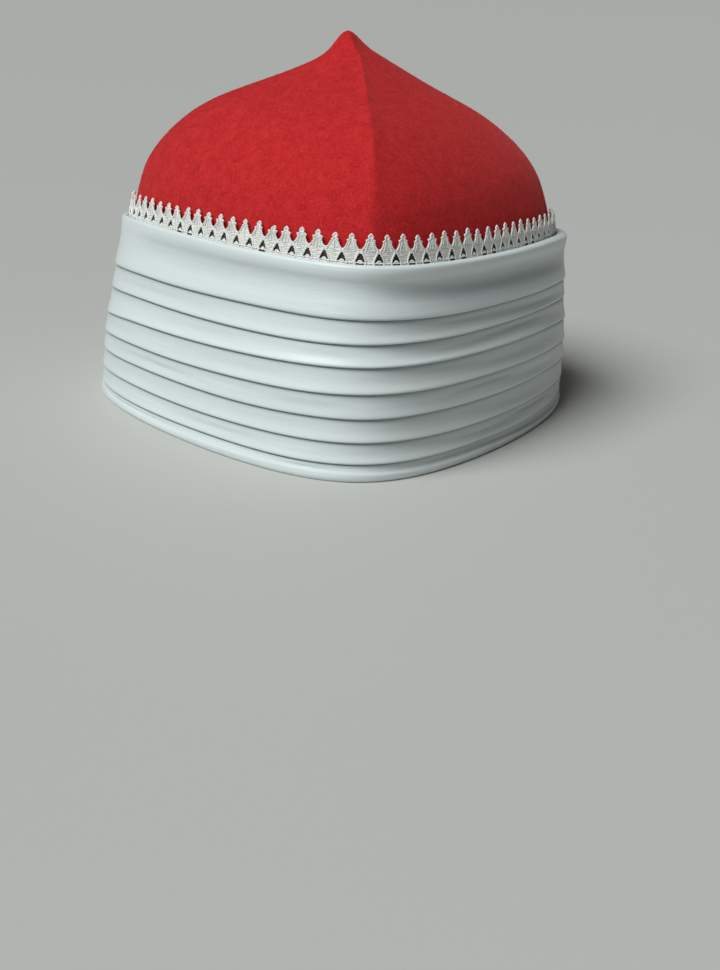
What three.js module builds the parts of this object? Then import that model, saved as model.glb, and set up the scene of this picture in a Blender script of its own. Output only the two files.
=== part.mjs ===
// A ready-wound turban: a red felt cap with a small point, a white cloth band
// wound round it in lapped pleats, and an edging of picot lace between the two.
//
// Millimetres, +Z up. The front faces -Y and the rim stands on Z = 0,
// with the origin at the middle of the rim's oval.

import * as THREE from 'three';
import { mergeVertices } from 'three/addons/utils/BufferGeometryUtils.js';

// The oval of the band's foot, drawn in to a blunt nose at the front.
const halfWidth = 106.95;      // before the taper, which brings it to 103.8
const halfLength = 109.6;
const noseTaper = 0.399;
const noseBlend = 0.2;         // how softly the taper starts at the oval's widest
const sideLean = 2.1;          // how far the top of the band leans to +X
const sides = 60;              // facets round the cap and round the band

// The felt cap.
const feltWall = 2.8;
const feltFootInset = 9.4;     // from the foot's oval in to the felt, at the rim
const feltBrowInset = 12.4;    // the same, where the dome begins
const browHeight = 78.8;
const tipHeight = 156.8;
const creaseTurn = 0.04;       // radians from the nose round to the front crease
const creaseSpread = 0.15;     // radians over which the front crease dies away
const driftSpread = 0.5;       // radians over which the crease's sideways bow dies away
const hollowReach = 0.13;      // the felt is solid inside this reach, up in the point

// The dome, a row for each section from the brow up to the point.
// reach: size of the section, against the brow's.  rise: height of the section.
// sway: how far the section sits towards +X.  crease: height of the front crease.
// drift: how far the crease bows to +X.
const domeSections = [
  { reach: 1, rise: 78.8, sway: 0, crease: 0.9, drift: 0 },
  { reach: 0.965, rise: 89.8, sway: -0.6, crease: 1.5, drift: 0.2 },
  { reach: 0.935, rise: 98.4, sway: -1, crease: 2, drift: 0.9 },
  { reach: 0.892, rise: 104.9, sway: -1.2, crease: 2.5, drift: 1.5 },
  { reach: 0.828, rise: 111.8, sway: -1.6, crease: 2.8, drift: 2.1 },
  { reach: 0.74, rise: 118.9, sway: -2.2, crease: 2.9, drift: 3 },
  { reach: 0.632, rise: 125.5, sway: -2.6, crease: 2.8, drift: 3.4 },
  { reach: 0.515, rise: 130.4, sway: -2.4, crease: 2.6, drift: 3.6 },
  { reach: 0.397, rise: 135, sway: -1.4, crease: 2.2, drift: 2.9 },
  { reach: 0.3, rise: 139, sway: -0.3, crease: 1.8, drift: 1.9 },
  { reach: 0.225, rise: 142.3, sway: 0.3, crease: 1.5, drift: 1.4 },
  { reach: 0.165, rise: 145.2, sway: 0.4, crease: 1.2, drift: 1.2 },
  { reach: 0.12, rise: 147.7, sway: -0.2, crease: 0.9, drift: 1.2 },
  { reach: 0.085, rise: 150.1, sway: -1.3, crease: 0.5, drift: 1 },
  { reach: 0.055, rise: 153.1, sway: -2, crease: 0.2, drift: 0.6 },
  { reach: 0.025, rise: 156, sway: -2.4, crease: 0, drift: 0.2 },
];

// The band: a rolled top edge, a plain upper stretch with a soft hollow in it,
// then seven pleats, each flaring to a lip that laps the next.
const seatGap = 0.6;           // between the felt and what is wound on it
const crestHeight = 81.1;
const rollRadius = 1.6;
const rollTurns = [135, 90, 50, 10];   // degrees round the roll, from the inside out

// The wound rows do not run level.
// back: how much lower a row is at the back.  right: how much lower at +X.
const rimTilt = { back: 3.6, right: 1 };
const noTilt = { back: 0, right: 0 };

// On the +X side the roll stands further out, by as much as its flare.
const rollFlare = 1.9;

// The plain stretch. level: height at the front.  inset: in from the foot's oval.
const plainSections = [
  { level: 74.7, inset: 7.5, back: 4.2, right: 0.75, flare: 1.3 },
  { level: 69.8, inset: 7, back: 4.7, right: 0.54, flare: 0.8 },
  { level: 65.3, inset: 6.1, back: 5.1, right: 0.32, flare: 0.3 },
];

// The pleats from the top. edge: height of the groove under the lip, at the front.
// inset: in from the foot's oval to the lip.
const pleats = [
  { edge: 61.2, inset: 5.4, back: 5.5, right: 0.11 },
  { edge: 52.4, inset: 4.2, back: 5.9, right: -0.96 },
  { edge: 44.2, inset: 2.2, back: 8.9, right: -1.3 },
  { edge: 34.1, inset: 1.1, back: 7, right: -0.86 },
  { edge: 24.7, inset: 0.96, back: 5.1, right: -0.48 },
  { edge: 15.2, inset: 0.75, back: 3.2, right: -0.21 },
  { edge: 7, inset: 0.43, back: 2, right: -0.21 },
];

// How a lip laps the next pleat: its fullest part, its lower edge and the groove.
// above: height over the groove.  inward: from the lip towards the felt.
const lapSections = [
  { above: 1.2, inward: 0 },
  { above: 0.3, inward: 0.48 },
  { above: 0, inward: 1.6 },
];
const swellShare = 0.42;       // how far down a pleat it has come out from under the lap
const swellInward = 0.59;      // and how far it then is inside its own lip

// The last pleat's edge, down to the rim.
const footSections = [
  { level: 1.5, inset: 0 },
  { level: 0, inset: 1.1 },
];

// The lace: leaf-shaped picots joined side by side above a narrow heading.
const laceThickness = 0.85;
const laceGap = 0.7;           // to the felt behind it
const rollGap = 0.85;          // to the band before it
const laceFoot = 74.3;         // height where the heading starts, down behind the roll
const lacePocket = 0.65;       // room below the lace's foot
const leafCount = 84;
const leafLean = 0.19;         // inward slope of the leaves above the brow

// Half of one leaf: the heading, the narrow neck, the under and upper corners of
// the join with the next leaf, the shoulder and the tip.
// across: from the leaf's middle, in pitches, so 0.5 meets the next leaf.
// up: height above the lace's foot.
const leafCorners = [
  { across: 0.5, up: 6.8 },
  { across: 0.17, up: 7.1 },
  { across: 0.5, up: 10.7 },
  { across: 0.5, up: 11.6 },
  { across: 0.3, up: 14.6 },
  { across: 0, up: 18.2 },
];

// A point of the foot's oval. The angle is 0 at the front and runs towards +X.
function ovalPoint(angle) {
  const forward = Math.cos(angle);
  const nose = noseTaper * (forward + Math.hypot(forward, noseBlend)) / 2;
  return new THREE.Vector2(
    halfWidth * Math.sin(angle) * (1 - nose),
    -halfLength * Math.cos(angle),
  );
}

function ovalOutward(angle) {
  const step = 0.001;
  const along = ovalPoint(angle + step).sub(ovalPoint(angle - step)).normalize();
  return new THREE.Vector2(along.y, -along.x);
}

// The height of a wound row at an angle.
function rowHeight(angle, { level, back, right }) {
  const backShare = (1 - Math.cos(angle)) / 2;
  const rightShare = ovalPoint(angle).x / halfWidth;
  return level - back * backShare - right * rightShare;
}

// How far in a wound row lies at an angle.
function rowInset(angle, { inset, flare = 0 }) {
  return inset - flare * Math.max(Math.sin(angle), 0) ** 2;
}

// The oval moved in by an inset and lifted to a height, leaning as the band does.
function ringPoint(angle, inset, height) {
  const flat = ovalPoint(angle).addScaledVector(ovalOutward(angle), -inset);
  const lean = sideLean * Math.min(height / browHeight, 1);
  return new THREE.Vector3(flat.x + lean, flat.y, height);
}

function angleFromCrease(angle) {
  const turn = angle - creaseTurn;
  return Math.abs(Math.atan2(Math.sin(turn), Math.cos(turn)));
}

function creaseShare(angle) {
  return Math.exp(-angleFromCrease(angle) / creaseSpread);
}

function feltInset(height) {
  const share = Math.min(height / browHeight, 1);
  return THREE.MathUtils.lerp(feltFootInset, feltBrowInset, share);
}

// A point on the felt's upright side, or a clearance outside it.
function feltSide(angle, height, clearance) {
  const share = Math.min(height / browHeight, 1);
  const crease = domeSections[0].crease * creaseShare(angle) * share;
  return ringPoint(angle, feltInset(height) - crease - clearance, height);
}

// The slope of the dome at a section, as a unit vector square to its profile.
function domeNormal(index) {
  const below = domeSections[Math.max(index - 1, 0)];
  const above = domeSections[Math.min(index + 1, domeSections.length - 1)];
  const span = halfLength - feltBrowInset;
  return new THREE.Vector2(above.rise - below.rise, (below.reach - above.reach) * span).normalize();
}

// A point of the dome at a section, sunk below its surface by a depth.
function domePoint(angle, index, depth) {
  const { reach, rise, sway, crease, drift } = domeSections[index];
  const normal = domeNormal(index);
  const lift = crease * creaseShare(angle) - depth;
  const brow = ringPoint(angle, feltBrowInset, browHeight);
  const out = ovalOutward(angle);
  const bow = drift * Math.exp(-((angleFromCrease(angle) / driftSpread) ** 2));
  return new THREE.Vector3(
    sideLean + sway + (brow.x - sideLean) * reach + out.x * normal.x * lift + bow,
    brow.y * reach + out.y * normal.x * lift,
    rise + normal.y * lift,
  );
}

// A ring of points, one of them on the crease.
function ring(pointAt) {
  return Array.from({ length: sides }, (_, side) => pointAt(creaseTurn + (2 * Math.PI * side) / sides));
}

// Skins a chain of rings. With poles, each end closes to a point;
// without them the last ring joins the first.
function skinRings(rings, poles) {
  const points = rings.flat();
  const faces = [];
  const spans = poles ? rings.length - 1 : rings.length;
  for (let row = 0; row < spans; row += 1) {
    const upper = row * sides;
    const lower = ((row + 1) % rings.length) * sides;
    for (let side = 0; side < sides; side += 1) {
      const next = (side + 1) % sides;
      faces.push(upper + side, lower + side, lower + next);
      faces.push(upper + side, lower + next, upper + next);
    }
  }
  if (poles) {
    const last = (rings.length - 1) * sides;
    const top = points.push(poles.start) - 1;
    const end = points.push(poles.end) - 1;
    for (let side = 0; side < sides; side += 1) {
      const next = (side + 1) % sides;
      faces.push(top, side, next);
      faces.push(end, last + next, last + side);
    }
  }
  const geometry = new THREE.BufferGeometry().setFromPoints(points);
  geometry.setIndex(faces);
  return geometry;
}

function feltCapGeometry() {
  const outside = [];
  const inside = [];
  const hollowSections = domeSections.filter(({ reach }) => reach >= hollowReach);
  domeSections.forEach((section, index) => {
    outside.unshift(ring((angle) => domePoint(angle, index, 0)));
    if (index < hollowSections.length) {
      inside.push(ring((angle) => domePoint(angle, index, feltWall)));
    }
  });
  const outerRim = ring((angle) => feltSide(angle, 0, 0));
  const innerRim = ring((angle) => feltSide(angle, 0, -feltWall));
  const underPoint = inside.at(-1)[0].z;
  return skinRings([...outside, outerRim, innerRim, ...inside], {
    start: new THREE.Vector3(sideLean + domeSections.at(-1).sway, 0, tipHeight),
    end: new THREE.Vector3(sideLean + hollowSections.at(-1).sway, 0, underPoint + feltWall / 2),
  });
}

// The outside of the band's section, from the roll down to the rim.
function bandOutside() {
  const rollInset = feltBrowInset - laceThickness - laceGap - rollGap - 2 * rollRadius;
  const rows = rollTurns.map((degrees) => {
    const turn = THREE.MathUtils.degToRad(degrees);
    return {
      inset: rollInset + rollRadius * (1 - Math.cos(turn)),
      level: crestHeight - rollRadius * (1 - Math.sin(turn)),
      flare: rollFlare,
      ...rimTilt,
    };
  });
  rows.push(...plainSections);
  pleats.forEach((pleat, index) => {
    const next = pleats[index + 1] ?? { edge: 0, inset: 0, ...noTilt };
    for (const { above, inward } of lapSections) {
      rows.push({ ...pleat, inset: pleat.inset + inward, level: pleat.edge + above });
    }
    rows.push({
      inset: next.inset + swellInward,
      level: THREE.MathUtils.lerp(pleat.edge, next.edge, swellShare),
      back: THREE.MathUtils.lerp(pleat.back, next.back, swellShare),
      right: THREE.MathUtils.lerp(pleat.right, next.right, swellShare),
    });
  });
  rows.push(...footSections.map((section) => ({ ...section, ...noTilt })));
  return rows;
}

// The inside follows the felt, and steps back at the top to let the lace in.
function pleatedBandGeometry() {
  const laceClearance = laceThickness + laceGap + rollGap;
  const inside = [
    { clearance: seatGap, level: 0, ...noTilt },
    { clearance: seatGap, level: laceFoot - 2 * lacePocket, ...rimTilt },
    { clearance: laceClearance, level: laceFoot - lacePocket, ...rimTilt },
    { clearance: laceClearance, level: crestHeight - rollRadius, ...rimTilt },
  ];
  const rings = bandOutside().map((row) => (
    ring((angle) => ringPoint(angle, rowInset(angle, row), rowHeight(angle, row)))
  ));
  for (const row of inside) {
    rings.push(ring((angle) => feltSide(angle, rowHeight(angle, row), row.clearance)));
  }
  return skinRings(rings, null);
}

// Divides the oval at the brow into equal pitches, and returns a function
// that gives the angle any number of pitches round from the front crease.
function pitchAngles(count) {
  const fine = 3600;           // short steps that measure the oval
  const lengths = [0];
  let before = ringPoint(creaseTurn, feltBrowInset, browHeight);
  for (let step = 1; step <= fine; step += 1) {
    const after = ringPoint(creaseTurn + (2 * Math.PI * step) / fine, feltBrowInset, browHeight);
    lengths.push(lengths[step - 1] + after.distanceTo(before));
    before = after;
  }
  return (share) => {
    const wanted = (((share % count) + count) % count) * (lengths[fine] / count);
    let step = lengths.findIndex((length) => length > wanted);
    step = step < 0 ? fine : step;
    const part = (wanted - lengths[step - 1]) / (lengths[step] - lengths[step - 1]);
    return creaseTurn + (2 * Math.PI * (step - 1 + part)) / fine;
  };
}

// The whole outline of one leaf with its share of the heading.
function leafOutline() {
  const right = leafCorners.map(({ across, up }) => new THREE.Vector2(across, up));
  const left = right.slice(0, -1).reverse().map(({ x, y }) => new THREE.Vector2(-x, y));
  return [new THREE.Vector2(-0.5, 0), new THREE.Vector2(0.5, 0), ...right, ...left];
}

function picotTrimGeometry() {
  const outline = leafOutline();
  const facets = THREE.ShapeUtils.triangulateShape(outline, []);
  const angleAt = pitchAngles(leafCount);
  const corners = [];

  // Two leaves meet at the crease.
  const place = ({ x, y }, leaf, clearance) => {
    const angle = angleAt(leaf + 0.5 + x);
    const height = rowHeight(angle, { level: laceFoot + y, ...rimTilt });
    const lean = Math.max(height - browHeight, 0) * leafLean;
    const point = feltSide(angle, Math.min(height, browHeight), clearance - lean);
    point.z = height;
    return point;
  };

  for (let leaf = 0; leaf < leafCount; leaf += 1) {
    const back = outline.map((point) => place(point, leaf, laceGap));
    const front = outline.map((point) => place(point, leaf, laceGap + laceThickness));
    for (const [a, b, c] of facets) {
      corners.push(front[a], front[b], front[c]);
      corners.push(back[c], back[b], back[a]);
    }
    outline.forEach((point, index) => {
      const other = (index + 1) % outline.length;
      const sharedEdge = point.x === outline[other].x && Math.abs(point.x) === 0.5;
      if (!sharedEdge) {
        corners.push(back[index], back[other], front[other]);
        corners.push(back[index], front[other], front[index]);
      }
    });
  }
  return mergeVertices(new THREE.BufferGeometry().setFromPoints(corners), 0.001);
}

const felt = new THREE.MeshStandardMaterial({ color: 0xb3151c, roughness: 0.95, metalness: 0 });
const satin = new THREE.MeshStandardMaterial({ color: 0xdfe8ea, roughness: 0.5, metalness: 0 });
const lace = new THREE.MeshStandardMaterial({ color: 0xe6e3dc, roughness: 0.8, metalness: 0 });

function addPiece(parent, name, geometry, material) {
  geometry.computeVertexNormals();
  const mesh = new THREE.Mesh(geometry, material);
  mesh.name = name;
  parent.add(mesh);
}

const turban = new THREE.Group();
addPiece(turban, 'felt_cap', feltCapGeometry(), felt);
addPiece(turban, 'pleated_band', pleatedBandGeometry(), satin);
addPiece(turban, 'picot_trim', picotTrimGeometry(), lace);

export default turban;
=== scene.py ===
# A red felt cap wound with a pleated white band and edged with picot lace, on a pale floor.
import math

import bpy
import numpy as np
from mathutils import Matrix, Vector


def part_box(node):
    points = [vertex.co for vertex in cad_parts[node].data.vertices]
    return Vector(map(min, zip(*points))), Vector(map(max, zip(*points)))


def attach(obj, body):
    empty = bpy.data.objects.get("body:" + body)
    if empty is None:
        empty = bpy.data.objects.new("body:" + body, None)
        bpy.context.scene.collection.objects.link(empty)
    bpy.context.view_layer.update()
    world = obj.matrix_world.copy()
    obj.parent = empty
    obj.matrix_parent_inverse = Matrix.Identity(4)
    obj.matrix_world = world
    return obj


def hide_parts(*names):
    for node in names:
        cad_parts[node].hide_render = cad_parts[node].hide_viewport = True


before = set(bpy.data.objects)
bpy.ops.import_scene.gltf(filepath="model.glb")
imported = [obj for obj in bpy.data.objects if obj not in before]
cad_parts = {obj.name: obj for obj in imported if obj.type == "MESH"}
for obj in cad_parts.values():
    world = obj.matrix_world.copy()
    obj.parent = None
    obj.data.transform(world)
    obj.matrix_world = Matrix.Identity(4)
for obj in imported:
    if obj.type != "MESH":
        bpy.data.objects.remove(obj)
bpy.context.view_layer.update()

print("frame loaded:", sorted(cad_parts))

bandLow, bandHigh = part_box("pleated_band")
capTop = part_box("felt_cap")[1].z
widthLeft = 0.9695              # share of the oval's width that its taper at the nose leaves

# The oval of the band's foot, which every piece follows. Lengths are metres.
oval = {
    "halfWidth": (bandHigh.x - bandLow.x) / 2 / widthLeft,
    "halfLength": (bandHigh.y - bandLow.y) / 2,
    "noseTaper": 0.399,
    "noseBlend": 0.2,
    "sideLean": 0.0021,         # how far the top leans to +X
    "brow": 0.0788,             # height where the dome begins
    "feltFootInset": 0.0094,
    "feltBrowInset": 0.0124,
    "creaseTurn": 0.04,         # radians from the nose to the front crease
    "creaseHeight": 0.0009,
    "creaseSpread": 0.15,       # radians
}
rim = {
    "tilt": (0.0048, 0.0009, 0.0072),   # how steeply it falls, and its drop at +X and at the back
    "steeper": (1.2, 2.2),      # radians round from the front, between which a row falls more
    "steeperShare": 0.8,
    "settles": (1.6, 2.35),     # and between which it comes to its height at the back
}


def unit(vectors):
    return vectors / np.linalg.norm(vectors, axis=-1, keepdims=True)


def ovalFlat(angle):
    forward = np.cos(angle)
    nose = oval["noseTaper"] * (forward + np.hypot(forward, oval["noseBlend"])) / 2
    across = oval["halfWidth"] * np.sin(angle) * (1 - nose)
    along = -oval["halfLength"] * np.cos(angle)
    return np.stack([across, along], axis=-1)


def ovalOutward(angle):
    step = 0.001
    way = unit(ovalFlat(angle + step) - ovalFlat(angle - step))
    return np.stack([way[..., 1], -way[..., 0]], axis=-1)


def softStep(value, start, stop):
    share = np.clip((value - start) / (stop - start), 0, 1)
    return share ** 2 * (3 - 2 * share)


def tilted(angle, level, tilt):
    # a row sinks towards the back, more steeply behind the temples, and towards +X
    steepness, right, back = tilt
    turned = np.abs(angle)
    fall = steepness * ((1 - np.cos(angle)) / 2 + rim["steeperShare"] * softStep(turned, *rim["steeper"]))
    fall += (back - fall) * softStep(turned, *rim["settles"])
    return level - fall - right * ovalFlat(angle)[..., 0] / oval["halfWidth"]


def onOval(angle, inset, height):
    # a point inset from the foot's oval, at a height; angle 0 is the front and runs towards +X
    flat = ovalFlat(angle) - ovalOutward(angle) * np.asarray(inset)[..., None]
    lean = oval["sideLean"] * np.minimum(height / oval["brow"], 1)
    return np.stack([flat[..., 0] + lean, flat[..., 1], height + 0 * flat[..., 0]], axis=-1)


def feltInset(angle, height):
    # how far the felt's upright side is in from the foot's oval
    share = np.minimum(height / oval["brow"], 1)
    turn = angle - oval["creaseTurn"]
    turned = np.abs(np.arctan2(np.sin(turn), np.cos(turn)))
    crease = oval["creaseHeight"] * np.exp(-turned / oval["creaseSpread"]) * share
    return oval["feltFootInset"] + (oval["feltBrowInset"] - oval["feltFootInset"]) * share - crease


def smoothThrough(points, steps):
    # a soft curve through a few points, with so many steps from each to the next
    points = np.array(points, float)
    ends = np.vstack([2 * points[0] - points[1], points, 2 * points[-1] - points[-2]])
    made = []
    for first, start, stop, last in zip(ends[:-3], ends[1:-2], ends[2:-1], ends[3:]):
        for t in np.arange(steps) / steps:
            made.append(0.5 * (2 * start + (stop - first) * t
                               + (2 * first - 5 * start + 4 * stop - last) * t ** 2
                               + (3 * start - first - 3 * stop + last) * t ** 3))
    return np.array(made + [points[-1]])


def anglesAlong(inset, height, samples):
    # the angles, and how far along each is, round one loop of the oval at an inset and height
    angle = np.linspace(-math.pi, math.pi, samples + 1)
    path = onOval(angle, np.full(samples + 1, inset), height)
    steps = np.linalg.norm(np.diff(path, axis=0), axis=1)
    return angle, np.concatenate([[0], np.cumsum(steps)])


def clearSelection():
    if bpy.context.object and bpy.context.object.mode != "OBJECT":
        bpy.ops.object.mode_set(mode="OBJECT")
    bpy.ops.object.select_all(action="DESELECT")


def pickUp(thing):
    clearSelection()
    thing.select_set(True)
    bpy.context.view_layer.objects.active = thing


def ringStack(name, columns, rows):
    # a circle extruded down once for every row, one unit apart
    clearSelection()
    bpy.ops.mesh.primitive_circle_add(vertices=columns, radius=1, location=(0, 0, 0))
    stack = bpy.context.object
    stack.name = name
    bpy.ops.object.mode_set(mode="EDIT")
    for _ in range(rows - 1):
        bpy.ops.mesh.extrude_region_move(TRANSFORM_OT_translate={"value": (0, 0, -1)})
    bpy.ops.object.mode_set(mode="OBJECT")
    return stack


def stackPlaces(stack):
    # the angle round from the front and the row of every vertex of a ring stack
    flat = np.zeros(len(stack.data.vertices) * 3)
    stack.data.vertices.foreach_get("co", flat)
    spots = flat.reshape(-1, 3)
    return np.arctan2(spots[:, 0], -spots[:, 1]), np.rint(-spots[:, 2]).astype(int)


def setPlaces(mesh, spots):
    mesh.vertices.foreach_set("co", np.ascontiguousarray(spots, np.float32).ravel())
    mesh.update()


def setShares(mesh, name, shares):
    # a value for every vertex, which a material reads by its name
    mesh.attributes.new(name, "FLOAT", "POINT").data.foreach_set("value", shares)


def cornersOf(mesh):
    # the vertex at every corner of every face
    corners = np.zeros(len(mesh.loops), int)
    mesh.loops.foreach_get("vertex_index", corners)
    return corners


def layClothMap(mesh, u, v, turn):
    # the piece's own UV map, in metres along and across; u starts again after one turn
    corners = cornersOf(mesh)
    along = u[corners].reshape(-1, 4)
    wraps = along.max(axis=1) - along.min(axis=1) > turn / 2
    along[wraps] = np.where(along[wraps] < turn / 2, along[wraps] + turn, along[wraps])
    flat = np.stack([along.ravel(), v[corners]], axis=-1)
    mesh.uv_layers.new(name="cloth").data.foreach_set("uv", flat.ravel())


def newPiece(name, spots, faces):
    mesh = bpy.data.meshes.new(name)
    mesh.from_pydata(spots.tolist(), [], faces)
    piece = bpy.data.objects.new(name, mesh)
    bpy.context.scene.collection.objects.link(piece)
    return piece


def faceOutwards(thing, mergeWithin=None):
    pickUp(thing)
    bpy.ops.object.mode_set(mode="EDIT")
    bpy.ops.mesh.select_all(action="SELECT")
    if mergeWithin:
        bpy.ops.mesh.remove_doubles(threshold=mergeWithin)
    bpy.ops.mesh.normals_make_consistent(inside=False)
    bpy.ops.object.mode_set(mode="OBJECT")


# The pleated band is one closed ring. Its rows run down the outside, under the foot and up the inside.
band = {
    "columns": 432,
    "crest": bandHigh.z,
    "rollRadius": 0.0016,
    "rollInset": 0.0068,
    "rollHalfWidth": 0.00175,
    "rollTurn": (170, 15),      # degrees, from the inside over the top
    "rollRows": 12,
    "rollFlare": 0.0014,        # how much further out the roll stands on the +X side
    "rollDraw": 0.0010,         # and how much further in on the -X side
    "plain": [                  # (level, inset, shares of the hollow, the flare and the draw)
        (0.0784, 0.00682, 0.00, 1.00, 1.0),
        (0.0765, 0.00680, 0.25, 0.97, 0.9),
        (0.0740, 0.00665, 0.85, 0.93, 0.7),
        (0.0712, 0.00640, 1.00, 0.90, 0.5),
        (0.0685, 0.00615, 0.75, 0.90, 0.3),
        (0.0658, 0.00585, 0.30, 0.90, 0.1),
    ],
    "overLip": 0.0002,          # how far the plain cloth stands out over the first lip
    "hollow": 0.0020,
    "hollowShade": 0.27,        # painted shade at the bottom of the hollow, where a groove's is 1
    "hollowAround": [           # (degrees round from the front towards +X, share of the hollow)
        (-180, 0.2), (-92, 0.15), (-70, 0.7), (-45, 0.9), (-20, 0.8), (0, 0.85), (25, 1.4),
        (60, 1.5), (80, 0.9), (95, 0.2), (180, 0.2),
    ],
    "pleats": [                 # each lip's groove level, its inset, its tilt and its share of the flare
        {"edge": 0.0612, "inset": 0.0054, "tilt": (0.0055, 0.0001, 0.0066), "flare": 0.85},
        {"edge": 0.0524, "inset": 0.0042, "tilt": (0.0059, -0.0010, 0.0062), "flare": 0.5},
        {"edge": 0.0442, "inset": 0.0022, "tilt": (0.0089, -0.0013, 0.0068), "flare": 0.1},
        {"edge": 0.0341, "inset": 0.0011, "tilt": (0.0070, -0.0009, 0.0053), "flare": 0.0},
        {"edge": 0.0247, "inset": 0.0010, "tilt": (0.0051, -0.0005, 0.0040), "flare": 0.0},
        {"edge": 0.0152, "inset": 0.0007, "tilt": (0.0032, -0.0002, 0.0023), "flare": 0.0},
        {"edge": 0.0070, "inset": 0.0004, "tilt": (0.0020, -0.0002, 0.0011), "flare": 0.0},
    ],
    "foot": {"edge": 0.0020, "inset": 0.0001, "tilt": (0.0, 0.0, 0.0), "flare": 0.0},
    "hem": [                    # (inset, level) round the foot's edge
        (0.0, 0.0022), (0.0, 0.0014), (0.0003, 0.0007), (0.0007, 0.0002), (0.0013, 0.0),
    ],
    "underside": [(0.0032, 0.0), (0.0060, 0.0)],
    "pleatShares": (0.02, 0.05, 0.09, 0.14, 0.21, 0.30, 0.41, 0.52, 0.62, 0.71, 0.79, 0.86, 0.93, 1.0),
    "pleatStraight": 0.15,      # share of a pleat's way out that is even; the rest comes low down
    "evenAround": [             # (degrees, how nearly straight a pleat runs from one lip to the next)
        (-180, 0.5), (-110, 0.9), (-90, 1.0), (-70, 0.7), (-45, 0.6), (0, 0.4), (25, 0.1),
        (60, 0.0), (80, 0.5), (95, 1.0), (115, 0.9), (180, 0.5),
    ],
    "lipRadius": 0.0005,
    "lipTop": 2.2,              # radii above the groove, where a lip is fullest
    "lipMiddle": 1.25,          # radii above the groove, about which it turns in
    "lipTurns": (22, 48, 74, 100, 126),     # degrees
    "lipBulge": 0.00012,
    "bulgeAt": 0.9,             # share of the way down a pleat
    "bulgeSpread": 0.15,
    "lapStep": 0.00060,         # from a lip in to the cloth that hangs from under it
    "lapAround": [              # (degrees, share of that step)
        (-180, 0.6), (-90, 0.3), (-65, 0.7), (-30, 0.9), (0, 1.2), (25, 2.2), (60, 2.4),
        (80, 0.9), (95, 0.3), (180, 0.6),
    ],
    "lapDepth": 0.0013,         # from a lip in to the bottom of its groove
    "lapReach": 0.06,           # share of a pleat over which the groove ends
    "groove": [(0.85, 0.0003), (1.0, 0.0)],     # (share of that depth, height above the groove's level)
    "underLip": 0.0002,         # how far below its groove the next pleat starts
    "lipShade": (0.15, 0.5),    # painted shade on a lip at its face, and how much more at its end
    "foldReach": 0.13,          # share of a pleat over which the groove's painted shade ends
    "foldShade": 0.3,           # painted shade on a pleat under a lip, past the groove
    "seatGap": 0.0006,          # to the felt
    "seatLevels": (0.0, 0.0010, 0.0240, 0.0490),
    "laceClearance": 0.0021,    # to the felt beside the lace
    "pocket": 0.07365,          # height where the room for the lace starts
    "pocketStep": 0.0007,
    "pocketTop": 0.85,          # roll radii below the crest, where the roll starts inside
    "waves": (2, 3, 5, 8),      # turns of the slow waves that a lip wanders by
    "waveFall": 0.7,            # how fast they weaken as they get shorter
    "waver": 0.00035,           # how much a lip wanders up and down
    "swell": 0.00025,           # how much the cloth swells in and out
    "swellShift": 1.7,          # sets the swell apart from the wander
    "weld": 1e-6,
    "seed": 4,
}


def bandRow(inset, level, tilt, **more):
    # hollow, flare, draw and loose are shares of the hollow, of the roll's flare and draw, and of the
    # slow waves. fold is how much painted shade the row's colour gets, lap how far in it hangs
    # under a lip, and even how far in it lies from the straight way between two lips.
    row = {"number": 0, "loose": 0.0, "hollow": 0.0, "flare": 0.0, "draw": 0.0, "fold": 0.0, "lap": 0.0,
           "even": 0.0}
    row.update(more, inset=inset, level=level, tilt=tilt)
    return row


def blend(first, second, share):
    return tuple(a + (b - a) * share for a, b in zip(first, second))


def bulge(share):
    return band["lipBulge"] * math.exp(-((share - band["bulgeAt"]) / band["bulgeSpread"]) ** 2)


def rollRows():
    rows = []
    for turn in np.radians(np.linspace(*band["rollTurn"], band["rollRows"])):
        outer = (1 + math.cos(turn)) / 2
        inset = band["rollInset"] + band["rollHalfWidth"] * (1 - math.cos(turn))
        level = band["crest"] - band["rollRadius"] * (1 - math.sin(turn))
        rows.append(bandRow(inset, level, rim["tilt"], flare=outer, draw=outer))
    return rows


def plainRows(first):
    lowest = first["edge"] + band["lipTop"] * band["lipRadius"]
    highest = band["plain"][0][0]
    table = band["plain"] + [(lowest, first["inset"] - band["overLip"], 0.0, first["flare"], 0.0)]
    rows = []
    for level, inset, hollow, flare, draw in smoothThrough(table, 3):
        share = (highest - level) / (highest - lowest)
        tilt = blend(rim["tilt"], first["tilt"], share)
        rows.append(bandRow(inset, level, tilt, loose=share, hollow=hollow, flare=flare, draw=draw))
    return rows


def lipRows(lip, number):
    # round the lip's lower edge and in to the groove
    radius = band["lipRadius"]
    full = lip["inset"] - bulge(1.0)
    face, darker = band["lipShade"]
    rows = []
    for degrees in band["lipTurns"]:
        turn = math.radians(degrees)
        inset = full + radius * (1 - math.cos(turn))
        level = lip["edge"] + radius * (band["lipMiddle"] - math.sin(turn))
        # painted shade on the lip's underside, deeper as it turns in
        rows.append(bandRow(inset, level, lip["tilt"], number=number, loose=1.0, flare=lip["flare"],
                            fold=face + darker * degrees / band["lipTurns"][-1]))
    # the groove rows get full painted shade
    for inward, above in band["groove"]:
        inset = lip["inset"] + (band["lapDepth"] - band["lapStep"]) * inward
        rows.append(bandRow(inset, lip["edge"] + above, lip["tilt"], number=number, loose=1.0,
                            flare=lip["flare"], fold=1.0, lap=band["lapStep"] * inward))
    return rows


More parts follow.
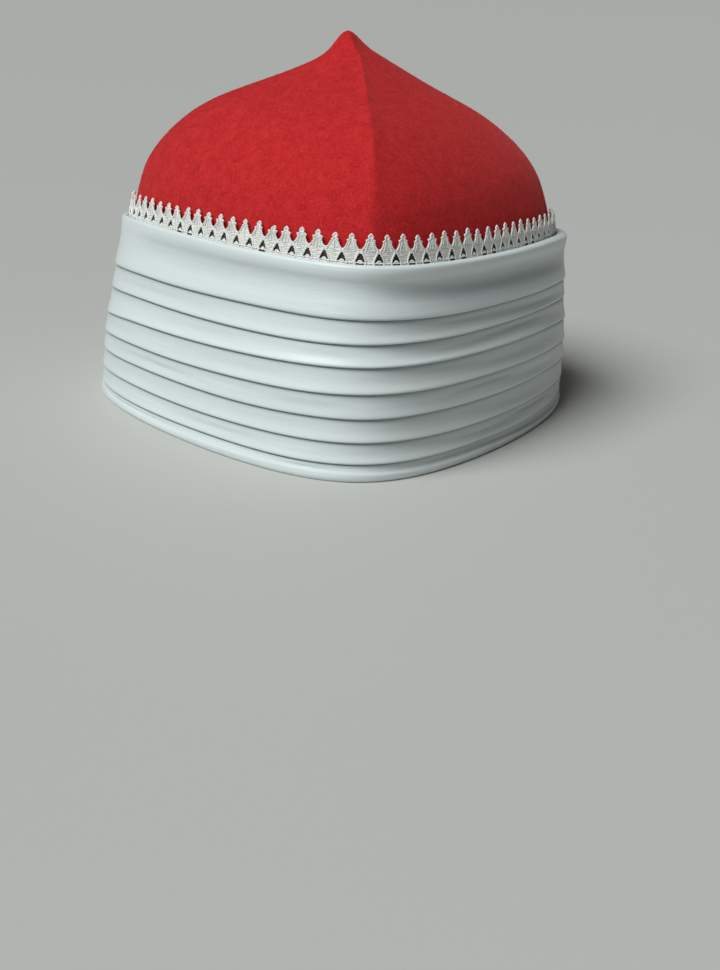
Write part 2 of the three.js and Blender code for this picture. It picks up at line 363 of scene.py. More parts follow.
def pleatRows(lip, following, number):
    # from the groove under one lip down to the fullest part of the next
    rows = []
    reach = lip["inset"] - following["inset"]
    drop = following["edge"] + band["lipTop"] * band["lipRadius"] - lip["edge"]
    for share in band["pleatShares"]:
        line = band["pleatStraight"] * share + (1 - band["pleatStraight"]) * share ** 3
        groove = (band["lapDepth"] - band["lapStep"]) * math.exp(-share / band["lapReach"])
        inset = following["inset"] + reach * (1 - line) + groove - bulge(share)
        level = lip["edge"] - band["underLip"] + drop * share
        # painted shade, deepest just under the lip and fading down the pleat
        dark = max(math.exp(-share / band["foldReach"]), band["foldShade"] * (1 - share) ** 2)
        rows.append(bandRow(inset, level, blend(lip["tilt"], following["tilt"], share),
                            number=number + 1 if share > 0.5 else number, loose=1.0,
                            flare=lip["flare"] + (following["flare"] - lip["flare"]) * share, fold=dark,
                            lap=band["lapStep"] * (1 - line), even=reach * (share - line)))
    return rows


def outsideRows():
    stages = band["pleats"] + [band["foot"]]
    rows = rollRows() + plainRows(stages[0])
    for number, lip in enumerate(band["pleats"]):
        rows += lipRows(lip, number)
        rows += pleatRows(lip, stages[number + 1], number)
    for inset, level in band["hem"]:
        rows.append(bandRow(inset, level, band["foot"]["tilt"], number=len(band["pleats"])))
    return rows


def insideRows():
    # (clearance from the felt, level, share of the rim's tilt), from the foot up
    pocket = band["pocket"]
    top = band["crest"] - band["rollRadius"] * band["pocketTop"]
    close = [(band["seatGap"], level, level / pocket)
             for level in band["seatLevels"] + (pocket - band["pocketStep"],)]
    wide = [(band["laceClearance"], level, 1.0) for level in (pocket, (pocket + top) / 2, top)]
    return close + wide


def shareAround(table, turn):
    # a share that changes softly round the band
    degrees, shares = smoothThrough(table, 8).T
    return np.interp(np.degrees(turn), degrees, shares)


def slowWaves():
    # the phases and strengths of the waves that each lip and the foot wander by
    chance = np.random.default_rng(band["seed"])
    waves = np.array(band["waves"])
    size = (len(band["pleats"]) + 1, len(waves))
    phases = chance.uniform(0, 2 * math.pi, size)
    strengths = chance.normal(0, 1, size) / waves ** band["waveFall"]
    return phases, strengths / np.abs(strengths).sum(axis=1, keepdims=True)


def outsideSpots(turn, line, phase, strength):
    # the places of one row, and the painted shade of its colour there
    waves = np.array(band["waves"])
    wander = (np.sin(turn[:, None] * waves + phase) * strength).sum(axis=1) * line["loose"]
    shifted = phase * band["swellShift"]
    swell = (np.sin(turn[:, None] * waves[::-1] + shifted) * strength).sum(axis=1) * line["loose"]
    sunken = line["hollow"] * shareAround(band["hollowAround"], turn)
    lap = line["lap"] * shareAround(band["lapAround"], turn)
    even = line["even"] * shareAround(band["evenAround"], turn)
    flare = band["rollFlare"] * np.maximum(np.sin(turn), 0) ** 2 * line["flare"]
    draw = band["rollDraw"] * np.maximum(-np.sin(turn), 0) ** 2 * line["draw"]
    inset = line["inset"] + lap - even + band["hollow"] * sunken + band["swell"] * swell + (draw - flare)
    height = tilted(turn, line["level"], line["tilt"]) + band["waver"] * wander
    # painted shade from the lips and grooves, and more in the hollow under the roll
    return onOval(turn, inset, height), line["fold"] + band["hollowShade"] * sunken


def insideSpots(turn, clearance, level, tiltShare):
    height = tilted(turn, level, [part * tiltShare for part in rim["tilt"]])
    return onOval(turn, feltInset(turn, height) - clearance, height)


def girthDown(angle, row, spots):
    # how far each row is from the first, measured down one column of the band
    girth = [0.0]
    for index in range(1, row.max() + 1):
        first = np.flatnonzero(row == index)[0]
        above = np.flatnonzero((row == index - 1) & (np.abs(angle - angle[first]) < 1e-4))[0]
        girth.append(girth[-1] + np.linalg.norm(spots[first] - spots[above]))
    return np.array(girth)


def makeBand():
    outside = outsideRows()
    under = band["underside"]
    inside = insideRows()
    rowCount = len(outside) + len(under) + len(inside) + 1      # the last row closes on the first
    stack = ringStack("pleatedBand", band["columns"], rowCount)
    angle, row = stackPlaces(stack)
    phases, strengths = slowWaves()
    spots = np.zeros((len(angle), 3))
    folds = np.zeros(len(angle))
    for index in range(rowCount):
        here = row == index
        turn = angle[here]
        if index < len(outside) or index == rowCount - 1:
            line = outside[index % (rowCount - 1)]
            number = line["number"]
            spots[here], folds[here] = outsideSpots(turn, line, phases[number], strengths[number])
        elif index < len(outside) + len(under):
            inset, level = under[index - len(outside)]
            spots[here] = onOval(turn, np.full(len(turn), inset), level)
        else:
            spots[here] = insideSpots(turn, *inside[index - len(outside) - len(under)])
    setPlaces(stack.data, spots)
    angles, lengths = anglesAlong(0.0, 0.0, 2000)
    across = girthDown(angle, row, spots)[row]
    layClothMap(stack.data, np.interp(angle, angles, lengths), across, lengths[-1])
    setShares(stack.data, "fold", folds)
    faceOutwards(stack, mergeWithin=band["weld"])
    bpy.ops.object.shade_smooth()
    return stack


print("making the pleated band")
pleatedBand = makeBand()
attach(pleatedBand, "root")
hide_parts("pleated_band")


# The felt cap is a smoothed copy of the CAD solid, kept firm along its crease and its rim.
felt = {
    "smoothing": 2,
    "weld": 1e-5,
    "pairing": 70,              # degrees within which two triangles make one four-sided face
    "creasePath": [             # (height, how far towards +X) of the front crease, from the foot up
        (0.0, 0.0026), (0.0791, 0.0039), (0.0903, 0.0034), (0.0993, 0.0037), (0.1064, 0.0041),
        (0.1138, 0.0041), (0.1213, 0.0043), (0.1280, 0.0041), (0.1328, 0.0042),
        (0.1370, 0.0043), (0.1406, 0.0043), (0.1437, 0.0042), (0.1463, 0.0040),
        (0.1485, 0.0033), (0.1505, 0.0020), (0.1532, 0.0008), (0.1560, -0.0001),
    ],
    "creaseWidth": 0.0003,      # how near to that path a vertex of the crease lies
    "creaseFront": -0.001,      # and in front of which Y
    "creaseSharpness": (0.2, 0.6),      # at the brow and at the tip
    "rimSharpness": 0.6,
    "flatDisc": 0.334,          # across the round blank that the cap is blocked from
}


def keepFirm(mesh):
    # the front crease and the two edges of the rim
    sharp = mesh.attributes.new("crease_edge", "FLOAT", "EDGE")
    heights, places = np.array(felt["creasePath"]).T
    onCrease = [corner.co.y < felt["creaseFront"]
                and abs(corner.co.x - np.interp(corner.co.z, heights, places)) < felt["creaseWidth"]
                for corner in mesh.vertices]
    onRim = [abs(corner.co.z) < felt["weld"] for corner in mesh.vertices]
    reach = (oval["brow"], capTop)
    for edge in mesh.edges:
        start, stop = edge.vertices
        if onCrease[start] and onCrease[stop]:
            height = mesh.vertices[start].co.z
            sharp.data[edge.index].value = np.interp(height, reach, felt["creaseSharpness"])
        elif onRim[start] and onRim[stop]:
            sharp.data[edge.index].value = felt["rimSharpness"]


def makeCap():
    pickUp(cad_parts["felt_cap"])
    bpy.ops.object.duplicate()
    cap = bpy.context.object
    cap.name = "feltCap"
    for key in list(cap.keys()):
        del cap[key]
    cap.parent = None
    cap.data.materials.clear()
    pickUp(cap)
    bpy.ops.object.mode_set(mode="EDIT")
    bpy.ops.mesh.select_all(action="SELECT")
    bpy.ops.mesh.remove_doubles(threshold=felt["weld"])
    pairing = math.radians(felt["pairing"])
    bpy.ops.mesh.tris_convert_to_quads(face_threshold=pairing, shape_threshold=pairing)
    bpy.ops.object.mode_set(mode="OBJECT")
    keepFirm(cap.data)
    smooth = cap.modifiers.new("smooth", "SUBSURF")
    smooth.levels = smooth.render_levels = felt["smoothing"]
    bpy.ops.object.modifier_apply(modifier="smooth")
    bpy.ops.object.shade_smooth()
    return cap


# The nap is loose wool hairs that lie every way on the outside of the felt.
nap = {
    "hairs": 36000,
    "length": 0.0012,
    "lengthRange": (0.4, 1.5),
    "width": 0.000028,
    "widthRange": (0.6, 1.2),
    "lift": 0.34,               # how steeply a hair may stand up from the felt
    "liftRange": (0.1, 1.0),
    "liftPower": 1.6,           # the higher, the more of the hairs lie flat
    "section": [(1.0, 0.0), (-0.5, 1.2), (-0.5, -0.6)],     # (along the felt, up from it), in widths
    "lint": 0.004,              # share of the hairs that are pale
    "flatter": (1, 1, 0.9),     # the felt's outside faces away from the heart, seen a little flatter
    "heart": (0, 0, 0.05),
    "seed": 11,
}


def trianglesOf(mesh):
    # the corners of every triangle, and their smooth normals
    mesh.calc_loop_triangles()
    index = np.zeros(len(mesh.loop_triangles) * 3, int)
    mesh.loop_triangles.foreach_get("vertices", index)
    places = np.zeros(len(mesh.vertices) * 3)
    mesh.vertices.foreach_get("co", places)
    normals = np.zeros(len(mesh.vertices) * 3)
    mesh.vertices.foreach_get("normal", normals)
    index = index.reshape(-1, 3)
    return places.reshape(-1, 3)[index], normals.reshape(-1, 3)[index]


def showing(corners, normals):
    # whether each triangle is on the outside of the felt and above the band
    middle = corners.mean(axis=1)
    facing = unit(normals.mean(axis=1))
    outward = ((middle * nap["flatter"] - nap["heart"]) * facing).sum(axis=1)
    crest = tilted(np.arctan2(middle[:, 0], -middle[:, 1]), band["crest"], rim["tilt"])
    return (outward > 0) & (middle[:, 2] > crest)


def makeNap(cap):
    # each hair is a thin closed spike
    chance = np.random.default_rng(nap["seed"])
    count = nap["hairs"]
    corners, normals = trianglesOf(cap.data)
    crossed = np.cross(corners[:, 1] - corners[:, 0], corners[:, 2] - corners[:, 0])
    room = np.linalg.norm(crossed, axis=1) / 2 * showing(corners, normals)
    pick = chance.choice(len(room), count, p=room / room.sum())
    share = chance.dirichlet((1, 1, 1), count)
    root = (corners[pick] * share[:, :, None]).sum(axis=1)
    up = unit((normals[pick] * share[:, :, None]).sum(axis=1))
    side = unit(np.cross(up, chance.normal(0, 1, (count, 3))))
    across = np.cross(up, side)
    length = nap["length"] * chance.uniform(*nap["lengthRange"], count)[:, None]
    lift = nap["lift"] * chance.uniform(*nap["liftRange"], count)[:, None] ** nap["liftPower"]
    width = nap["width"] * chance.uniform(*nap["widthRange"], count)[:, None]
    start = root - up * width
    ring = [start + across * width * sideways + up * width * upwards
            for sideways, upwards in nap["section"]]
    tip = root + side * length + up * length * lift
    spots = np.stack(ring + [tip], axis=1).reshape(-1, 3)
    spike = np.array([(0, 1, 3), (1, 2, 3), (2, 0, 3), (0, 2, 1)])
    faces = (spike[None] + 4 * np.arange(count)[:, None, None]).reshape(-1, 3)
    made = newPiece("feltNap", spots, faces.tolist())
    pale = chance.random(count) < nap["lint"]
    setShares(made.data, "lint", np.repeat(pale.astype(float), 4))
    faceOutwards(made)
    bpy.ops.object.shade_smooth()
    return made


print("making the felt cap and its nap")
feltCap = makeCap()
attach(feltCap, "root")
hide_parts("felt_cap")
feltNap = makeNap(feltCap)
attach(feltNap, "root")


# The lace is laid out flat, as (across, up from the band's edge, out), and then wrapped round the felt.
lace = {
    "leaves": 84,
    "phase": 0.04,              # pitches from the nose to the middle of the nearest leaf
    "sideShare": 0.15,          # how much shorter the leaves are from the sides to the back
    "foot": 0.0743,             # height of the strip's lower edge, behind the band
    "edge": 0.0068,             # from the foot up to where the leaves begin
    "gap": 0.0007,              # from the felt to the back of the strip
    "depth": 0.00042,           # from the back of the strip to the middle of its threads
    "lean": 0.19,               # inward lean above the brow
    "thick": 0.00036,           # radius of the thread round a leaf
    "thin": 0.00022,            # radius of the threads over it
    "leaf": [                   # (height, half width) from the stem to the tip's neck
        (-0.0014, 0.00175), (0.0000, 0.00150), (0.0009, 0.00150), (0.0020, 0.00185), (0.0032, 0.00245),
        (0.0041, 0.00285), (0.0048, 0.00300), (0.0055, 0.00242), (0.0064, 0.00186), (0.0073, 0.00150),
        (0.0079, 0.00140), (0.0083, 0.00168), (0.0086, 0.00090), (0.0090, 0.00050),
    ],
    "collar": 0.0076,           # where the leaf's collar starts
    "collarShares": (1.0, 0.72, 1.18),      # its width in each kind of leaf
    "bobble": {
        "halfWidth": 0.00080,
        "low": 0.0096,
        "high": 0.0106,
        "turns": (-25, 10, 50, 90, 130, 170, 205),      # degrees round it
    },
    "outlineOut": 0.00018,      # how far the outline stands out
    "knots": 0.26,              # how much thicker and thinner the outline is from knot to knot
    "cross": {                  # the threads worked across a leaf, of which every second one slopes
        "count": 14,
        "lowest": 0.0004,
        "pastBobble": 0.0002,
        "slopes": (0.10, -0.12, 0.22),      # in each kind of leaf
        "radii": (1.0, 0.85),   # in thin radii
        "sag": 0.0001,
        "bow": 0.00018,         # how far a thread swells outwards
        "bowWidth": 0.0021,     # half width of the leaf from which it does so in full
        "twist": 0.6,           # radians
        "along": (-1, -0.5, 0, 0.5, 1),
    },
    "ribs": ((-1, 1), (0,), (-1, 0, 1)),    # sides on which each kind has a rib up to its collar
    "rib": [(0.0016, 0.0046, 0.0003), (0.0012, 0.0062, 0.0004), (0.0006, 0.0082, 0.0004)],
    "cloth": {                  # the close cloth behind the threads
        "back": -0.00012,
        "front": 0.00008,
        "bobbleShares": (0.85, 0.3),        # its half widths in the bobble
        "belowTop": 0.0002,
    },
    "bars": [(0.0038, 1.3), (0.0044, 1.5), (0.0050, 1.1)],      # (height, thin radii) to the next leaf
    "barRise": 0.0001,
    "barOut": (0.0001, 0.0002),
    "scallop": {                # the arch between two leaves
        "halfWidth": 0.00072,
        "low": 0.0003,
        "high": 0.0010,
        "turns": (-15, 20, 55, 90, 125, 160, 195),
    },
    "scallopOut": 0.0001,
    "scallopFill": [(-0.0004, 0.0004), (0.0, 0.0005), (0.0004, 0.0004)],
    "dash": {"left": 0.34, "right": 0.2, "height": -0.0004, "out": 0.0001},     # reach in pitches
    "edging": {"height": 0.0003, "ripple": 0.00012, "out": 0.00022, "radius": 1.1, "stitches": 9},
    "lowerThread": -0.0013,
    "strip": [                  # (up, out) of a dark strip behind the leaves: painted shade between them
        (-0.0064, -0.00045), (0.0039, -0.00045), (0.0039, -0.00022), (-0.0064, -0.00022),
    ],
    "tallSpread": 0.022,        # how the leaves differ from each other
    "bendSpread": 0.00016,
    "strayShare": 0.07,         # share of them that bend far to one side
    "strayBend": 0.0011,
    "strayDrop": 0.4,           # how much lower a bent tip is, as a share of its bend
    "shiftSpread": 0.00008,
    "leanSpread": 0.00014,
    "smoothAngle": 75,          # degrees
    "seed": 7,
}


def tubeFaces(rings, sides, closed=False):
    # a tube through rings of corners, with two end faces unless it closes on itself
    faces = []
    for i in range(rings if closed else rings - 1):
        ahead = (i + 1) % rings
        for j in range(sides):
            k = (j + 1) % sides
            faces.append((i * sides + j, i * sides + k, ahead * sides + k, ahead * sides + j))
    if not closed:
        faces.append(tuple(reversed(range(sides))))
        faces.append(tuple(range((rings - 1) * sides, rings * sides)))
    return faces


def thread(path, radius, sides, twist=0.0):
    # a closed thread along a path
    path = np.array(path, float)
    radius = np.broadcast_to(np.asarray(radius, float), (len(path),))
    along = unit(np.gradient(path, axis=0))
    out = unit(np.array([0.0, 0.0, 1.0]) - along * along[:, 2:3])
    side = np.cross(along, out)
    turns = twist + 2 * math.pi * np.arange(sides) / sides
    ring = np.cos(turns)[None, :, None] * side[:, None] + np.sin(turns)[None, :, None] * out[:, None]
    spots = (path[:, None] + ring * radius[:, None, None]).reshape(-1, 3)
    return spots, tubeFaces(len(path), sides)


def archPath(middle, arch):
    # (across, up) over an arch, or round the bobble
    height = arch["high"] - arch["low"]
    return [(middle - arch["halfWidth"] * math.cos(turn), arch["low"] + height * math.sin(turn))
            for turn in np.radians(arch["turns"])]


def leafOutline(table):
    # up one side, round the bobble and down the other
    side = [tuple(point) for point in smoothThrough([(-half, up) for up, half in table], 2)]
    outline = side + archPath(0.0, lace["bobble"]) + [(-x, up) for x, up in reversed(side)]
    knots = lace["thick"] * (1 + lace["knots"] * np.cos(np.arange(len(outline)) * math.pi))
    return thread([(x, up, lace["outlineOut"]) for x, up in outline], knots, 5)


def crossThreads(table, kind):
    cross = lace["cross"]
    parts = []
    levels = np.linspace(cross["lowest"], lace["bobble"]["low"] + cross["pastBobble"], cross["count"])
    for number, up in enumerate(levels):
        half = np.interp(up, table[:, 0], table[:, 1])
        bow = cross["bow"] * min(1.0, half / cross["bowWidth"])
        slope = 0.0 if number % 2 else cross["slopes"][kind]
        path = [(half * t, up + half * t * slope - cross["sag"] * (1 - t * t), bow * (1 - t * t))
                for t in cross["along"]]
        parts.append(thread(path, lace["thin"] * cross["radii"][number % 2], 4, cross["twist"]))
    return parts


def leafCloth(table):
    cloth, bobble = lace["cloth"], lace["bobble"]
    levels = np.append(table[:, 0], (bobble["low"], bobble["high"] - cloth["belowTop"]))
    halves = np.append(table[:, 1], [bobble["halfWidth"] * share for share in cloth["bobbleShares"]])
    spots = []
    for up, half in zip(levels, halves):
        spots += [(-half, up, cloth["back"]), (half, up, cloth["back"]),
                  (half, up, cloth["front"]), (-half, up, cloth["front"])]
    return np.array(spots), tubeFaces(len(levels), 4)


def leafBars(table, pitch):
    parts = []
    near, far = lace["barOut"]
    for up, radius in lace["bars"]:
        half = np.interp(up, table[:, 0], table[:, 1])
        path = [(half, up, near), (pitch / 2, up + lace["barRise"], far), (pitch - half, up, near)]
        parts.append(thread(path, lace["thin"] * radius, 4))
    return parts


def leafHeading(pitch, kind):
    # the scallop beside a leaf, its filling, a dash below it, and the two threads along the band's edge
    scallop = [(x, up, lace["scallopOut"]) for x, up in archPath(pitch / 2, lace["scallop"])]
    filling = [(pitch / 2 + x, up, 0.0) for x, up in lace["scallopFill"]]
    parts = [thread(scallop, lace["thick"], 4), thread(filling, lace["thick"], 5)]
    dash, edging = lace["dash"], lace["edging"]
    if kind:
        reach = (0.5 - dash["left"] * kind, 0.5, 0.5 + dash["right"])
        parts.append(thread([(pitch * t, dash["height"], dash["out"]) for t in reach], lace["thick"], 4))
    path = [(pitch * t, edging["height"] + edging["ripple"] * (1 if i % 2 else -1), edging["out"])
            for i, t in enumerate(np.linspace(-0.5, 0.5, edging["stitches"]))]
    parts.append(thread(path, lace["thin"] * edging["radius"], 4))
    lower = [(pitch * t, lace["lowerThread"], 0.0) for t in (-0.5, -0.25, 0, 0.25, 0.5)]
    parts.append(thread(lower, lace["thick"], 4))
    return parts


def leafParts(pitch, kind):
    # every thread of one leaf and of the heading beside it
    table = np.array(lace["leaf"])
    table[table[:, 0] > lace["collar"], 1] *= lace["collarShares"][kind]
    ribs = [thread([(side * x, up, out) for x, up, out in lace["rib"]], lace["thin"], 4)
            for side in lace["ribs"][kind]]
    return ([leafOutline(table)] + crossThreads(table, kind) + ribs + [leafCloth(table)]
            + leafBars(table, pitch) + leafHeading(pitch, kind))


def wrapLace(flat, angles, lengths):
    # lays the flat places round the felt, above the band's edge
    x, up, out = flat.T
    turn = np.interp(np.mod(x, lengths[-1]), lengths, angles)
    shorter = 1 - lace["sideShare"] * np.where(np.cos(turn) > 0, np.sin(turn) ** 2, 1.0)
    height = tilted(turn, lace["foot"] + lace["edge"] + np.where(up > 0, up * shorter, up), rim["tilt"])
    above = np.maximum(height - oval["brow"], 0)
    depth = feltInset(turn, height) - lace["gap"] - lace["depth"] - out + lace["lean"] * above
    return onOval(turn, depth, height)


def makeLace():
    chance = np.random.default_rng(lace["seed"])
    inset = oval["feltBrowInset"] - lace["gap"] - lace["depth"]
    angles, lengths = anglesAlong(inset, oval["brow"], 4000)
    pitch = lengths[-1] / lace["leaves"]
    kinds = [leafParts(pitch, kind) for kind in range(len(lace["ribs"]))]
    spots, faces, flats = [], [], []
    count = 0
    for leaf in range(lace["leaves"]):
        tall = chance.normal(1.0, lace["tallSpread"])
        bend = chance.normal(0, lace["bendSpread"])
        if chance.random() < lace["strayShare"]:
            bend = chance.choice((-1, 1)) * lace["strayBend"]
        shift = chance.normal(0, lace["shiftSpread"])
        lean = chance.normal(0, lace["leanSpread"])
        for places, sides in kinds[chance.integers(len(kinds))]:
            # a leaf shifts from its stem up and bends most at its tip
            x, up, out = places.T
            high = np.clip(up / lace["bobble"]["high"], 0, 1)
            across = x + shift * np.minimum(high * 4, 1) + bend * high ** 4
            upright = np.where(up > 0, up * tall, up) - abs(bend) * high ** 6 * lace["strayDrop"]
            along = (leaf + lace["phase"]) * pitch + across
            spots.append(np.stack([along, upright, out + lean * high], axis=-1))
            faces += [tuple(count + i for i in side) for side in sides]
            flats.append(np.stack([leaf * pitch + x, up], axis=-1))
            count += len(places)
    # a dark strip behind the leaves, painted shade that shows through the gaps between them
    columns = lace["leaves"] * 2
    strip = np.array([(lengths[-1] * i / columns, up, out)
                      for i in range(columns) for up, out in lace["strip"]])
    stripFaces = tubeFaces(columns, len(lace["strip"]), closed=True)
    faces += [tuple(count + i for i in side) for side in stripFaces]
    made = newPiece("picotLace", wrapLace(np.concatenate(spots + [strip]), angles, lengths), faces)
    setShares(made.data, "shadeStrip", np.append(np.zeros(count), np.ones(len(strip))))
    flat = np.concatenate(flats + [strip[:, :2]])
    made.data.uv_layers.new(name="thread").data.foreach_set("uv", flat[cornersOf(made.data)].ravel())
    faceOutwards(made)
    bpy.ops.object.shade_smooth_by_angle(angle=math.radians(lace["smoothAngle"]))
    return made


print("making the picot lace")
picotLace = makeLace()
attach(picotLace, "root")
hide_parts("picot_trim")


def setInputs(node, inputs):
    # gives each input its value, or links it to another node's output
    for key, value in inputs.items():
        if isinstance(value, bpy.types.NodeSocket):
            node.id_data.links.new(value, node.inputs[key])
        else:
            node.inputs[key].default_value = value


def addNode(tree, kind, inputs, output, **settings):
    node = tree.nodes.new(kind)
    for key, value in settings.items():
        setattr(node, key, value)
    setInputs(node, inputs)
    return node.outputs[output]


def addNoise(tree, place, scale, detail, roughness=0.5):
    inputs = {"Vector": place, "Scale": scale, "Detail": detail, "Roughness": roughness}
    return addNode(tree, "ShaderNodeTexNoise", inputs, "Fac")


def addWave(tree, place, scale, distortion, direction):
    inputs = {"Vector": place, "Scale": scale, "Distortion": distortion, "Detail": 1.0}
    return addNode(tree, "ShaderNodeTexWave", inputs, "Fac", wave_type="BANDS", bands_direction=direction)


def addStretch(tree, place, scale):
    return addNode(tree, "ShaderNodeMapping", {"Vector": place, "Scale": scale}, "Vector")


def addRange(tree, value, low, high, most=1.0):
    # 0 at the low value and below it, and the most at the high value and above it
    inputs = {"Value": value, "From Min": low, "From Max": high, "To Max": most}
    return addNode(tree, "ShaderNodeMapRange", inputs, "Result")


def addMix(tree, share, first, second):
    inputs = {"Factor": share, "A": first, "B": second}
    return addNode(tree, "ShaderNodeMix", inputs, "Result", data_type="RGBA")


def addBump(tree, height, strength, distance, **more):
    inputs = {"Height": height, "Strength": strength, "Distance": distance}
    inputs.update(more)
    return addNode(tree, "ShaderNodeBump", inputs, "Normal")


def newMaterial(name, surface):
    material = bpy.data.materials.new(name)
    material.use_nodes = True
    tree = material.node_tree
    shader = tree.nodes["Principled BSDF"]
    setInputs(shader, surface)
    return material, tree, shader


satinLook = {
    "colour": (0.765, 0.825, 0.832, 1),
    "shadeColour": (0.688, 0.750, 0.757, 1),
    # painted shade: the colour that grooves, lip undersides and the hollow are darkened towards
    "foldColour": (0.35, 0.40, 0.405, 1),
    "toneStretch": (14, 90, 1),         # slow tone changes along the cloth
    "toneNoise": (1.0, 3.0, 0.55),      # scale, detail, roughness
    "toneRange": (0.42, 0.75, 0.5),     # lowest, highest, most
    "foldRange": (0.0, 0.9, 0.9),
    "pullStretch": (60, 420, 1),        # soft pulls in the cloth
    "pullNoise": (1.0, 4.0, 0.6),
    "pullBump": (0.5, 0.0003),          # strength, distance
    "weave": (900.0, 0.6),              # scale, distortion
    "weaveBump": (0.25, 0.00004),
    "surface": {"Roughness": 0.4, "Sheen Weight": 0.35, "Sheen Roughness": 0.35,
                "Specular IOR Level": 0.45},
}


def makeSatin():
    material, tree, shader = newMaterial("whiteSatin", satinLook["surface"])
    place = addNode(tree, "ShaderNodeUVMap", {}, "UV", uv_map="cloth")
    tone = addNoise(tree, addStretch(tree, place, satinLook["toneStretch"]), *satinLook["toneNoise"])
    tone = addRange(tree, tone, *satinLook["toneRange"])
    cloth = addMix(tree, tone, satinLook["colour"], satinLook["shadeColour"])
    # painted shade in the grooves, under the lips and in the hollow, read from the band's vertices
    fold = addNode(tree, "ShaderNodeAttribute", {}, "Fac", attribute_name="fold")
    shaded = addMix(tree, addRange(tree, fold, *satinLook["foldRange"]), cloth, satinLook["foldColour"])
    warp = addWave(tree, place, *satinLook["weave"], "X")
    weft = addWave(tree, place, *satinLook["weave"], "Y")
    weave = addNode(tree, "ShaderNodeMath", {0: warp, 1: weft}, "Value", operation="MULTIPLY")
    fine = addBump(tree, weave, *satinLook["weaveBump"])
    pulls = addNoise(tree, addStretch(tree, place, satinLook["pullStretch"]), *satinLook["pullNoise"])
    soft = addBump(tree, pulls, *satinLook["pullBump"], Normal=fine)
    setInputs(shader, {"Base Color": shaded, "Normal": soft})
    return material


feltLook = {
    "bright": (0.645, 0.028, 0.031, 1),
    "deep": (0.455, 0.013, 0.016, 1),
    "blotch": (220.0, 7.0, 0.75),       # scale, detail, roughness
    "fibre": (1100.0, 3.0, 0.7),
    "range": (0.8, 1.2),                # of both together, from deep to bright
    "bump": (0.6, 0.0004),              # strength, distance
    "surface": {"Roughness": 0.95, "Sheen Weight": 0.3, "Sheen Roughness": 0.45,
                "Sheen Tint": (1.0, 0.22, 0.20, 1), "Specular IOR Level": 0.15},
}


def makeFelt():
    material, tree, shader = newMaterial("redFelt", feltLook["surface"])
    place = addNode(tree, "ShaderNodeTexCoord", {}, "Object")
    blotch = addNoise(tree, place, *feltLook["blotch"])
    fibre = addNoise(tree, place, *feltLook["fibre"])
    wool = addNode(tree, "ShaderNodeMath", {0: blotch, 1: fibre}, "Value", operation="ADD")
    colour = addMix(tree, addRange(tree, wool, *feltLook["range"]), feltLook["deep"], feltLook["bright"])
    setInputs(shader, {"Base Color": colour, "Normal": addBump(tree, wool, *feltLook["bump"])})
    return material


hairLook = {
    "dark": (0.48, 0.016, 0.018, 1),
    "light": (0.64, 0.030, 0.032, 1),
    "lint": (0.90, 0.50, 0.46, 1),
    "noise": (700.0, 1.0),      # scale, detail
    "range": (0.35, 0.65),
    "surface": {"Roughness": 0.95, "Specular IOR Level": 0.1},
}


def makeHair():
    material, tree, shader = newMaterial("redHair", hairLook["surface"])
    vary = addNoise(tree, addNode(tree, "ShaderNodeTexCoord", {}, "Object"), *hairLook["noise"])
    wool = addMix(tree, addRange(tree, vary, *hairLook["range"]), hairLook["dark"], hairLook["light"])
    lint = addNode(tree, "ShaderNodeAttribute", {}, "Fac", attribute_name="lint")
    setInputs(shader, {"Base Color": addMix(tree, lint, wool, hairLook["lint"])})
    return material


laceLook = {
    "light": (0.97, 0.96, 0.93, 1),
    "shade": (0.86, 0.85, 0.81, 1),
    "shadeStrip": (0.060, 0.026, 0.029, 1),     # painted shade: the dark strip between the stems
    "tone": (900.0, 3.0, 0.6),  # scale, detail, roughness
    "toneRange": (0.38, 0.68),
    "twist": (1500.0, 1.5),     # of the yarn: scale, distortion
    "twistBump": (0.7, 0.0001),
    "surface": {"Roughness": 0.8, "Sheen Weight": 0.2},
}


def makeLaceThread():
    material, tree, shader = newMaterial("laceThread", laceLook["surface"])
    place = addNode(tree, "ShaderNodeUVMap", {}, "UV", uv_map="thread")
    tone = addRange(tree, addNoise(tree, place, *laceLook["tone"]), *laceLook["toneRange"])
    yarn = addMix(tree, tone, laceLook["light"], laceLook["shade"])
    # the strip behind the leaves is coloured as painted shade
    shadeStrip = addNode(tree, "ShaderNodeAttribute", {}, "Fac", attribute_name="shadeStrip")
    twist = addWave(tree, place, *laceLook["twist"], "DIAGONAL")
    setInputs(shader, {"Base Color": addMix(tree, shadeStrip, yarn, laceLook["shadeStrip"]),
                       "Normal": addBump(tree, twist, *laceLook["twistBump"])})
    return material


print("making the materials")
for piece, makeMaterial in ((pleatedBand, makeSatin), (feltCap, makeFelt), (feltNap, makeHair),
                            (picotLace, makeLaceThread)):
    piece.data.materials.append(makeMaterial())
    print(piece.name, "has", sum(len(face.vertices) - 2 for face in piece.data.polygons), "triangles")


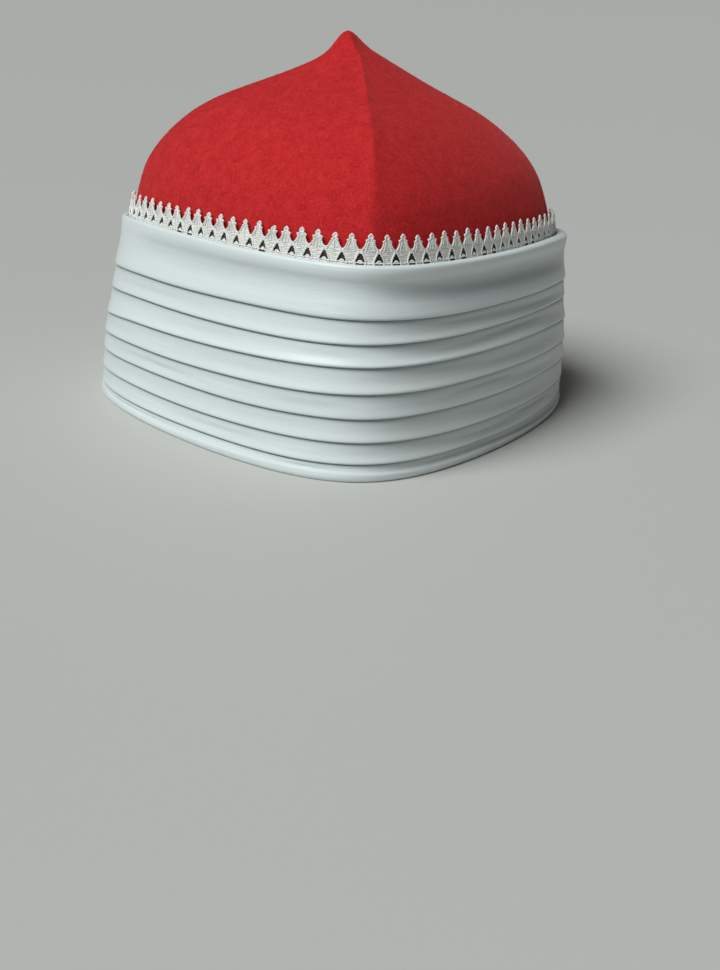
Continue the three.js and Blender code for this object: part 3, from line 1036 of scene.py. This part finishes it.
studio = {
    "floorSize": 24.0,
    "floor": {"Base Color": (0.56, 0.55, 0.525, 1), "Roughness": 0.7},
    "world": {"Color": (1.0, 0.96, 0.90, 1), "Strength": 0.045},
    "sun": {"place": (0, 0, 2), "towards": (0.70, 0.50, -1.20), "power": 2.95,
            "colour": (0.94, 1.0, 0.995)},
    "sunSpread": 36,            # degrees
    "strip": {"place": (-0.02, -1.3, 0.60), "towards": (0.02, 1.3, -0.55), "power": 0.6,
              "colour": (0.95, 0.98, 1.0)},
    "stripSize": (0.15, 0.9),   # its width and height
}
viewpoint = {
    "place": (-0.05125, -0.5998, 0.1871),
    "heading": 6.15,            # degrees towards +X
    "pitch": 20.84,             # degrees down
    "roll": 2.73,
    "lens": 51.96,
    "sensor": 36,
}


def addFloor():
    clearSelection()
    bpy.ops.mesh.primitive_plane_add(size=studio["floorSize"], location=(0, 0, 0))
    floor = bpy.context.object
    floor.name = "floor"
    floor.data.materials.append(newMaterial("paleFloor", studio["floor"])[0])


def addLamp(name, kind):
    setting = studio[name]
    clearSelection()
    bpy.ops.object.light_add(type=kind, location=setting["place"])
    lamp = bpy.context.object
    lamp.name = name
    lamp.data.energy = setting["power"]
    lamp.data.color = setting["colour"]
    lamp.rotation_euler = Vector(setting["towards"]).to_track_quat("-Z", "Y").to_euler()
    return lamp.data


def addLights():
    addLamp("sun", "SUN").angle = math.radians(studio["sunSpread"])
    strip = addLamp("strip", "AREA")
    strip.shape = "RECTANGLE"
    strip.size, strip.size_y = studio["stripSize"]
    world = bpy.data.worlds.new("studio")
    world.use_nodes = True
    setInputs(world.node_tree.nodes["Background"], studio["world"])
    bpy.context.scene.world = world


def addCamera():
    clearSelection()
    bpy.ops.object.camera_add(location=viewpoint["place"])
    camera = bpy.context.object
    turn = Matrix.Rotation(math.radians(-viewpoint["heading"]), 4, "Z")
    tilt = Matrix.Rotation(math.radians(90 - viewpoint["pitch"]), 4, "X")
    roll = Matrix.Rotation(math.radians(viewpoint["roll"]), 4, "Z")
    camera.matrix_world = Matrix.Translation(viewpoint["place"]) @ turn @ tilt @ roll
    camera.data.lens = viewpoint["lens"]
    camera.data.sensor_width = viewpoint["sensor"]
    bpy.context.scene.camera = camera


print("setting floor, light and camera")
addFloor()
addLights()
addCamera()
bpy.context.scene.view_settings.view_transform = "Standard"
